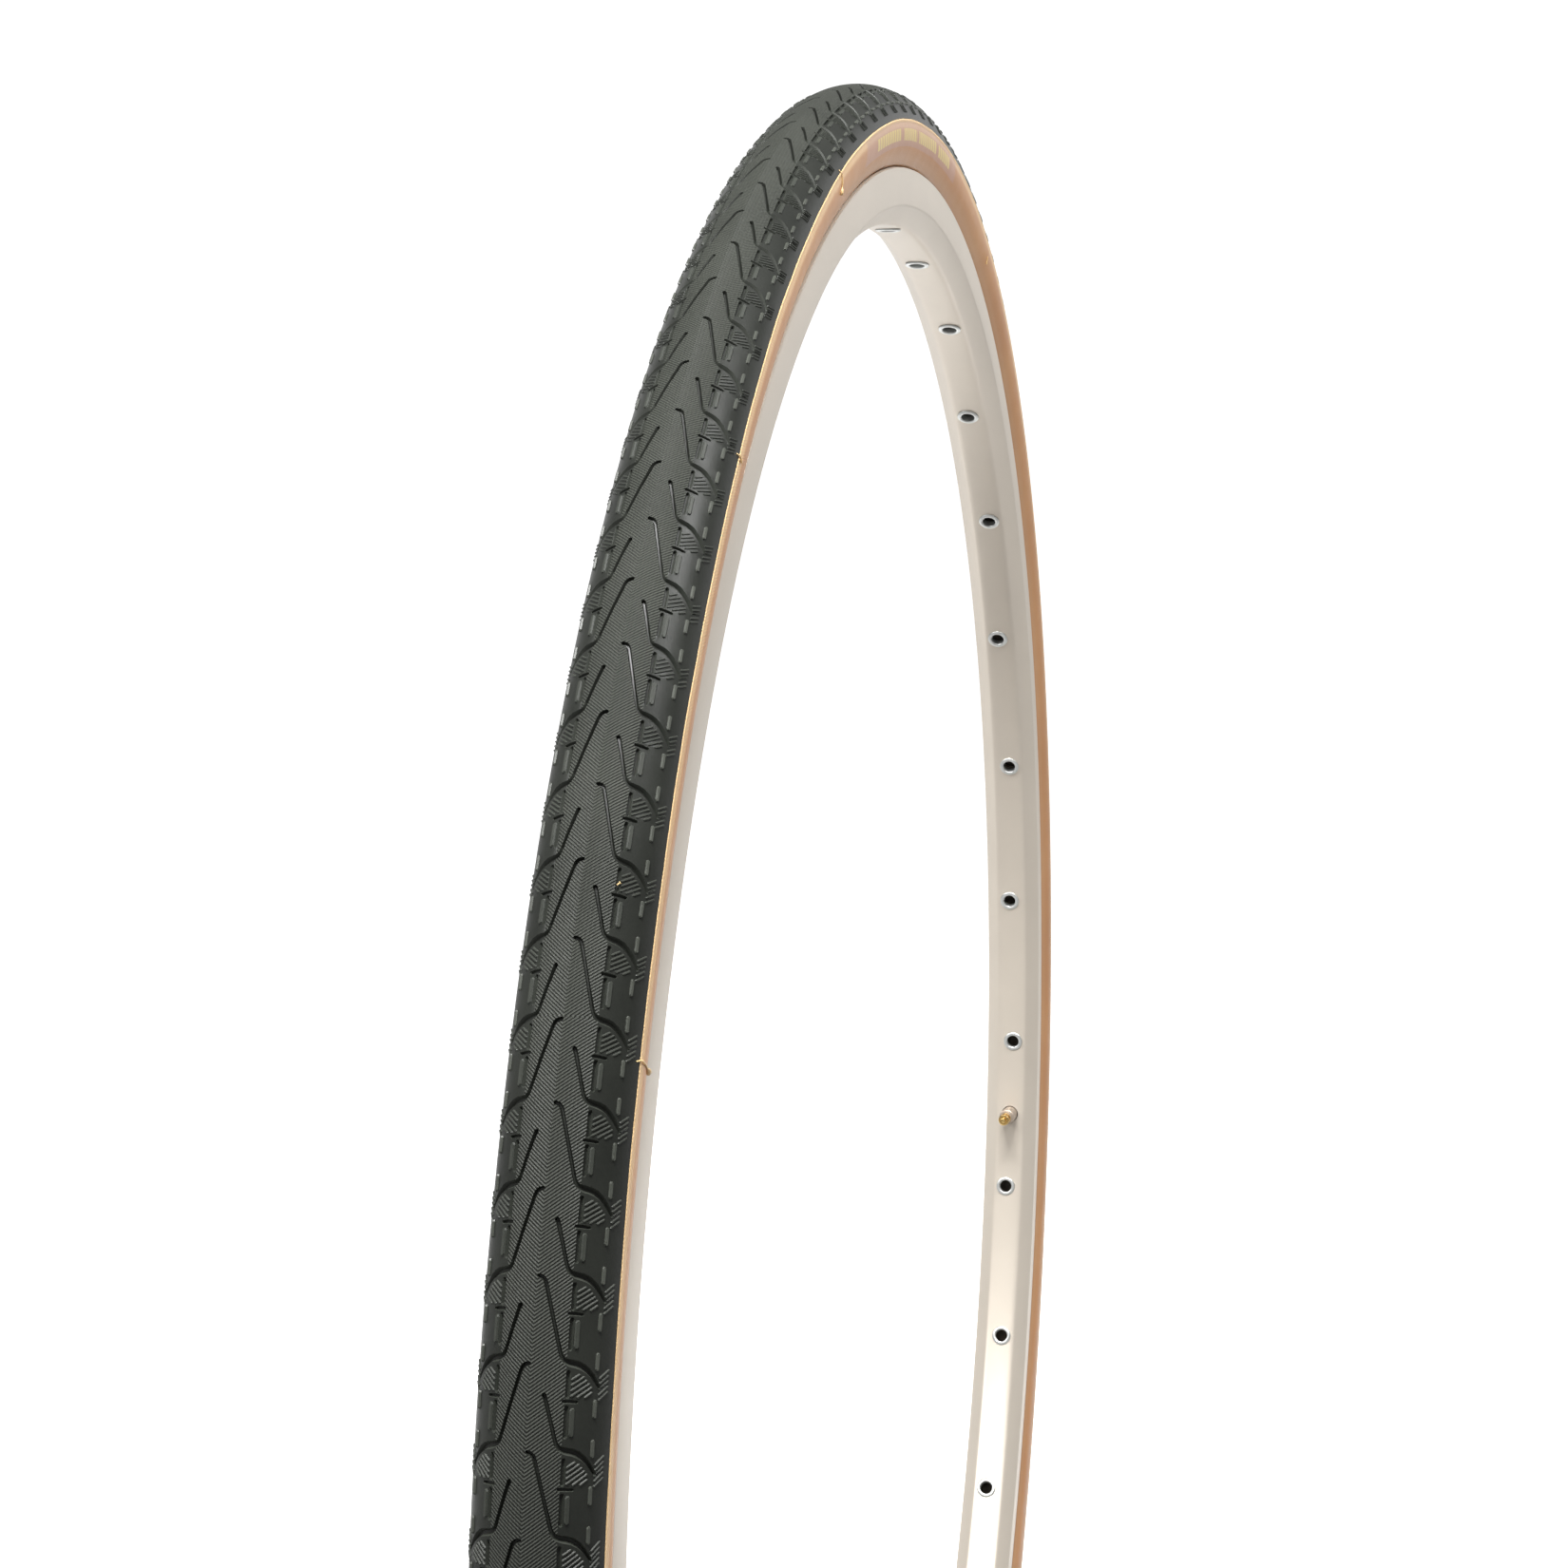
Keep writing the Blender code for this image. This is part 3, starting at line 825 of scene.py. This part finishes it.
def tube(points, radii, sides):
    """Round tube through the points, closed by a flat face at each end."""
    verts, faces = [], []
    for i, point in enumerate(points):
        ahead = (points[min(i + 1, len(points) - 1)] - points[max(i - 1, 0)]).normalized()
        across = Vector((0.0, 1.0, 0.0)) if abs(ahead.y) < 0.8 else Vector((1.0, 0.0, 0.0))
        side = ahead.cross(across)
        side.normalize()
        up = ahead.cross(side)
        for j in range(sides):
            a = 2.0 * math.pi * j / sides
            spot = point + (side * math.cos(a) + up * math.sin(a)) * radii[i] * MM
            verts.append((spot.x, max(spot.y, SIDE_LIMIT), spot.z))
    for i in range(len(points) - 1):
        here, there = i * sides, (i + 1) * sides
        for j in range(sides):
            k = (j + 1) % sides
            faces.append((here + j, here + k, there + k, there + j))
    faces.append(tuple(range(sides))[::-1])
    last = (len(points) - 1) * sides
    faces.append(tuple(last + j for j in range(sides)))
    return verts, faces


def build_flash(mat):
    for number, (angle, route, bead) in enumerate(FLASH):
        points = flash_path(angle, route)
        radii = [HAIR] * (len(points) - 3) + [bead * 0.8, bead, bead * 0.7]
        verts, faces = tube(points, radii, 8)
        obj = new_object("mould_flash_%02d" % (number + 1), verts, faces, [mat], angle=180)
        outward_normals(obj)
        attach(obj, "wheel")


# --- rim ----------------------------------------------------------------------------------

def rim_loops():
    """Section of the rim, mm: the outside of the extrusion and its hollow chamber."""
    right = [(8.45, 311.05), (8.42, 315.9), (8.62, 316.4), (9.0, 316.58), (9.6, 316.56),
             (9.98, 316.36), (10.14, 316.0), (HALF_RIM, 315.5), (HALF_RIM, 306.5),
             (10.12, 306.12), (9.9, 305.75), (6.1, 301.75), (5.6, 301.3), (5.0, 301.02),
             (3.8, 300.82), (2.0, 300.73), (0.0, BED_R)]
    well = [(0.0, 308.4), (3.9, 308.4), (4.4, 308.7), (5.4, 310.9), (5.8, 311.05)]
    path = well + right
    loop = path + [(-y, r) for y, r in reversed(path)][1:-1]
    half = [(0.0, 306.9), (3.7, 306.9), (8.6, 309.4), (8.6, 306.5), (4.7, 302.3), (0.0, 302.2)]
    cavity = half + [(-y, r) for y, r in reversed(half)][1:-1]
    return [loop, cavity]


def eyelet_spots():
    return [box_centre("eyelet_%02d" % (i + 1)) for i in range(EYELETS)]


def outward(theta, radius, y=0.0):
    """Place at a wheel angle and radius (mm) with local +Z pointing away from the axle."""
    turn = Matrix.Rotation(theta, 4, "Y")
    return turn @ Matrix.Translation((0.0, y, radius * MM))


SPOKE_DRILLS = ((297.0, 3.1, 6.8), (305.0, 4.0, 6.2))      # inner end, radius and length, mm
VALVE_DRILL = (304.0, 3.3, 16.0)    # middle, radius and length, mm


def add_drill(bm, place, radius, length, segments):
    """Cylinder (mm) to be cut out of the rim."""
    bmesh.ops.create_cone(bm, cap_ends=True, segments=segments, radius1=radius * MM,
                          radius2=radius * MM, depth=length * MM, matrix=place)


def build_rim(mat):
    """Double-wall rim with a stepped hole at every eyelet and one for the valve."""
    obj = revolve("rim_shell", rim_loops(), 576, [mat], sharp=32.0)
    bm = bmesh.new()
    for spot in eyelet_spots():
        theta = math.atan2(spot.x, spot.z)
        for low, radius, length in SPOKE_DRILLS:
            add_drill(bm, outward(theta, low + length / 2.0, spot.y), radius, length, 24)
    middle, radius, length = VALVE_DRILL
    add_drill(bm, outward(VALVE_THETA, middle), radius, length, 32)
    mesh = bpy.data.meshes.new("rim_drills")
    bm.to_mesh(mesh)
    bm.free()
    tool = bpy.data.objects.new("rim_drills", mesh)
    bpy.context.scene.collection.objects.link(tool)
    mod = obj.modifiers.new("holes", "BOOLEAN")
    mod.operation = "DIFFERENCE"
    mod.solver = "EXACT"
    mod.object = tool
    evaluated = obj.evaluated_get(bpy.context.evaluated_depsgraph_get())
    cut = bpy.data.meshes.new_from_object(evaluated)
    obj.modifiers.clear()
    obj.data = cut
    cut.set_sharp_from_angle(angle=math.radians(32.0))
    bpy.data.objects.remove(tool, do_unlink=True)
    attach(obj, "wheel")
    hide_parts("rim")


# Half section of an eyelet, mm: radius, then height above the rim's inner face.
EYELET_PROFILE = [(2.80, 2.2), (2.80, 0.02), (3.25, 0.02), (3.62, -0.02), (3.70, -0.16),
                  (3.64, -0.34), (3.42, -0.50), (3.10, -0.60), (2.78, -0.62), (2.52, -0.56),
                  (2.36, -0.42), (2.30, -0.20), (2.30, 2.0), (2.42, 2.2)]


def build_eyelets(mat):
    for i, spot in enumerate(eyelet_spots()):
        theta = math.atan2(spot.x, spot.z)
        obj = lathe("eyelet_lip_%02d" % (i + 1), EYELET_PROFILE, 40, [mat],
                    outward(theta, BED_R + 0.02, spot.y), sharp=50.0)
        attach(obj, "wheel")
        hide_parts("eyelet_%02d" % (i + 1))


# --- valve --------------------------------------------------------------------------------

def thread(low, high, radius, depth, pitch):
    """Side profile of a thread as stacked ridges."""
    points = []
    z = low
    while z < high - 1e-6:
        points += [(radius - depth, z), (radius - depth * 0.2, z + pitch * 0.3),
                   (radius, z + pitch * 0.5), (radius - depth * 0.2, z + pitch * 0.7)]
        z += pitch
    return points


# Half sections of the valve pieces, mm: distance from the valve's axis, radius from the axle.

def build_stem(place, nickel):
    stem = [(1.7, 288.55), (2.35, 288.55)] + thread(288.9, 290.9, 2.6, 0.22, 0.5)
    stem += [(2.45, 290.95), (2.95, 291.3), (3.0, 291.6), (3.0, 309.9), (1.7, 309.9)]
    obj = lathe("valve_stem_tube", stem, 48, [nickel], place, sharp=28.0)
    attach(obj, "wheel")
    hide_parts("valve_stem")


def build_core(place, brass):
    core = [(1.0, 286.42), (1.85, 286.42), (2.1, 286.7), (2.1, 288.0), (1.95, 288.2),
            (1.4, 288.25), (1.4, 303.0), (1.0, 303.0)]
    obj = lathe("valve_core_body", core, 40, [brass], place, sharp=28.0)
    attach(obj, "wheel")
    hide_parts("valve_core")


def build_pin(place, brass):
    pin = [(0.0, 281.05), (0.6, 281.05), (0.92, 281.2), (0.95, 281.45), (0.6, 281.75)]
    pin += thread(281.9, 286.7, 0.62, 0.10, 0.4)
    pin += [(0.6, 287.0), (0.6, 303.3), (1.3, 303.7), (1.3, 305.4), (0.0, 305.4)]
    obj = lathe("valve_pin_rod", pin, 32, [brass], place, sharp=28.0)
    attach(obj, "pin")
    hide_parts("valve_pin")


def build_lock_nut(place, brass):
    """Small nut whose outer edge is notched all round."""
    verts, faces = [], []
    rows = [(0.98, 282.35), (1.5, 282.22), (1.95, 282.3), (2.16, 282.5), (2.16, 283.7),
            (1.9, 284.2), (1.5, 284.38), (0.98, 284.38)]
    teeth, notch = 20, 0.13
    ring = teeth * 4
    for x, z in rows:
        for j in range(ring):
            a = 2.0 * math.pi * j / ring
            dip = notch if (j % 4) in (0, 3) and x > 1.9 else 0.0
            verts.append(((x - dip) * math.cos(a) * MM, (x - dip) * math.sin(a) * MM, z * MM))
    n = len(rows)
    for i in range(n):
        m = (i + 1) % n
        for j in range(ring):
            k = (j + 1) % ring
            faces.append((i * ring + j, i * ring + k, m * ring + k, m * ring + j))
    obj = new_object("valve_lock_nut_knurled", verts, faces, [brass], angle=180)
    outward_normals(obj)
    obj.data.set_sharp_from_angle(angle=math.radians(28.0))
    obj.matrix_world = place
    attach(obj, "lock_nut")
    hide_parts("valve_lock_nut")


# --- build --------------------------------------------------------------------------------

STEM = box_centre("valve_stem")
VALVE_THETA = math.atan2(STEM.x, STEM.z)

TREAD = [tread_material("tread_ribbed", "ribbed"), tread_material("tread_smooth", "smooth"),
         tread_material("tread_raised", "raised"), tread_material("tread_knurled", "knurled")]
SKIN = skin_material()
ALU = metal_material("rim_satin", (0.70, 0.63, 0.54), 0.34, 0.50, 0.40)
STEEL = metal_material("eyelet_bright", (0.70, 0.71, 0.69), 0.30, 0.42, 0.75)
NICKEL = metal_material("stem_plating", (0.50, 0.41, 0.33), 0.34, 0.50, 0.5)
BRASS = metal_material("valve_brass", (0.90, 0.62, 0.24), 0.18, 0.34)

build_tread(TREAD)
build_skin("skinwall_left", "sidewall_left", 1.0, SKIN)
build_skin("skinwall_right", "sidewall_right", -1.0, SKIN)
build_flash(plain_material("flash_rubber", (0.66, 0.44, 0.20), (0.80, 0.58, 0.28), 0.3, 900.0))
build_rim(ALU)
build_eyelets(STEEL)
VALVE_PLACE = outward(VALVE_THETA, 0.0)
build_stem(VALVE_PLACE, NICKEL)
build_core(VALVE_PLACE, BRASS)
build_pin(VALVE_PLACE, BRASS)
build_lock_nut(VALVE_PLACE, BRASS)

# CAD nodes that stay as they are and only take a better material.
HIDDEN = {
    "casing": plain_material("casing_cords", (0.16, 0.12, 0.08), (0.26, 0.20, 0.14), 0.75),
    "bead_core_left": plain_material("bead_steel", (0.40, 0.40, 0.40), (0.60, 0.60, 0.60), 0.3,
                                     500, 1.0),
    "inner_tube": plain_material("butyl", (0.020, 0.020, 0.020), (0.040, 0.040, 0.040), 0.5),
    "rim_tape": plain_material("tape", (0.12, 0.10, 0.08), (0.20, 0.17, 0.14), 0.6),
}
HIDDEN["bead_core_right"] = HIDDEN["bead_core_left"]
HIDDEN["valve_patch"] = HIDDEN["inner_tube"]
for name, mat in HIDDEN.items():
    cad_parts[name].data.materials.clear()
    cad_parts[name].data.materials.append(mat)

# --- stage --------------------------------------------------------------------------------

# The floor is pale all over and glows white on the far side of the wheel, in a wedge that
# opens along FLOOR_TURN, so that the wheel stands before plain white.

FLOOR_TURN = math.radians(-12.4)
FLOOR_HALF = 30.0                   # m
GLOW_FROM, GLOW_FULL, GLOW = 0.38, 0.47, 0.90   # m ahead of the axle, and its strength
WEDGE_SLOPE = 0.35                  # m that each side of the wedge opens per m ahead
WEDGE_OUTSIDE, WEDGE_INSIDE = -0.60, -0.30      # m over which each side fades
FAR_FROM, FAR_FULL, FAR_GLOW = 1.1, 3.0, 0.30   # m from the axle: the rest of the floor
WORLD_DIM = 0.10                    # studio light from the walls above the horizon
HORIZON = 0.18                      # paler band of backdrop at eye level
LIGHTS = (   # name, place, target, diameter in m, watts
    ("front", (-1.6, 0.3, 0.9), (-0.1, 0.0, 0.2), 1.0, 2.2),
    ("high", (-0.64, 0.0, 1.29), (-0.12, 0.0, 0.30), 0.5, 34.0),
    ("right", (-0.15, -0.7, 1.02), (-0.1, 0.0, 0.38), 0.35, 7.2),
    ("left", (-0.8, 1.2, 1.1), (-0.2, 0.0, 0.1), 0.5, 15.0),
)
CAMERA_AT = (-0.75493, -0.14028, 0.26067)
HEADING, PITCH = math.radians(77.61), math.radians(-6.43)    # from +Y towards +X, and up
LENS, SENSOR = 61.34, 36.0
SHIFT_X, SHIFT_Y = -0.0044, -0.0726


def floor_material():
    """Pale floor with the glowing wedge; ahead and across are measured in m from the axle."""
    mat, tree, bsdf = nodes_of("floor_pale")
    obj_co = object_place(tree)
    soft = noise_node(tree, obj_co, 2.0, 2.0)
    ahead, across, _ = axes_of(tree, mapped(tree, obj_co, "Rotation", (0.0, 0.0, FLOOR_TURN)))
    pale = range_node(tree, ahead, 0.1, 0.5, 0.30, 0.80)
    tree.links.new(math_node(tree, "ADD", pale, math_node(tree, "MULTIPLY", soft, 0.03)),
                   bsdf.inputs["Base Color"])
    bsdf.inputs["Roughness"].default_value = 0.9
    bsdf.inputs["Specular IOR Level"].default_value = 0.1
    bsdf.inputs["Emission Color"].default_value = (1.0, 1.0, 1.0, 1.0)
    aside = math_node(tree, "ABSOLUTE", across)
    inside = math_node(tree, "SUBTRACT", math_node(tree, "MULTIPLY", ahead, WEDGE_SLOPE), aside)
    glow = math_node(tree, "MULTIPLY", range_node(tree, ahead, GLOW_FROM, GLOW_FULL, 0.0, GLOW),
                     range_node(tree, inside, WEDGE_OUTSIDE, WEDGE_INSIDE, 0.0, 1.0))
    away = tree.nodes.new("ShaderNodeVectorMath")
    away.operation = "LENGTH"
    tree.links.new(obj_co, away.inputs[0])
    rest = range_node(tree, away.outputs["Value"], FAR_FROM, FAR_FULL, 0.0, FAR_GLOW)
    tree.links.new(math_node(tree, "MAXIMUM", glow, rest), bsdf.inputs["Emission Strength"])
    return mat


def build_stage():
    far, z = FLOOR_HALF, FLOOR_Z
    mesh = bpy.data.meshes.new("floor")
    mesh.from_pydata([(-far, -far, z), (far, -far, z), (far, far, z), (-far, far, z)], [],
                     [(0, 1, 2, 3)])
    mesh.materials.append(floor_material())
    floor = bpy.data.objects.new("floor", mesh)
    bpy.context.scene.collection.objects.link(floor)


def area_light(name, at, to, size, watts):
    """Soft round light at one point, turned towards another."""
    data = bpy.data.lights.new(name, "AREA")
    data.shape = "DISK"
    data.size = size
    data.energy = watts
    obj = bpy.data.objects.new(name, data)
    obj.location = at
    obj.rotation_mode = "QUATERNION"
    obj.rotation_quaternion = (Vector(to) - Vector(at)).to_track_quat("-Z", "Y")
    bpy.context.scene.collection.objects.link(obj)


def build_world():
    """White studio: a bright far wall, a paler band at eye level and a soft ceiling."""
    world = bpy.data.worlds.new("white_studio")
    bpy.context.scene.world = world
    world.use_nodes = True
    tree = world.node_tree
    back = tree.nodes["Background"]
    direction = tree.nodes.new("ShaderNodeTexCoord").outputs["Generated"]
    ahead, _, up = axes_of(tree, direction)
    far = range_node(tree, ahead, 0.35, 0.88, 0.0, 0.92)
    low = range_node(tree, up, 0.18, 0.50, 1.0, 0.0)
    sky = math_node(tree, "ADD", range_node(tree, up, 0.10, 0.32, HORIZON, WORLD_DIM),
                    range_node(tree, up, 0.3, 0.8, 0.0, 0.24))
    tree.links.new(math_node(tree, "ADD", math_node(tree, "MULTIPLY", far, low), sky),
                   back.inputs["Strength"])
    back.inputs["Color"].default_value = (1.0, 1.0, 1.0, 1.0)
    bpy.context.scene.view_settings.view_transform = "Standard"


def build_camera():
    data = bpy.data.cameras.new("camera")
    data.sensor_width = SENSOR
    data.lens = LENS
    data.shift_x = SHIFT_X
    data.shift_y = SHIFT_Y
    data.clip_start = 0.05
    data.clip_end = 100.0
    camera = bpy.data.objects.new("camera", data)
    look = Vector((math.sin(HEADING) * math.cos(PITCH), math.cos(HEADING) * math.cos(PITCH),
                   math.sin(PITCH)))
    camera.location = CAMERA_AT
    camera.rotation_mode = "QUATERNION"
    camera.rotation_quaternion = look.to_track_quat("-Z", "Y")
    bpy.context.scene.collection.objects.link(camera)
    bpy.context.scene.camera = camera


build_stage()
build_world()
for light in LIGHTS:
    area_light(*light)
build_camera()
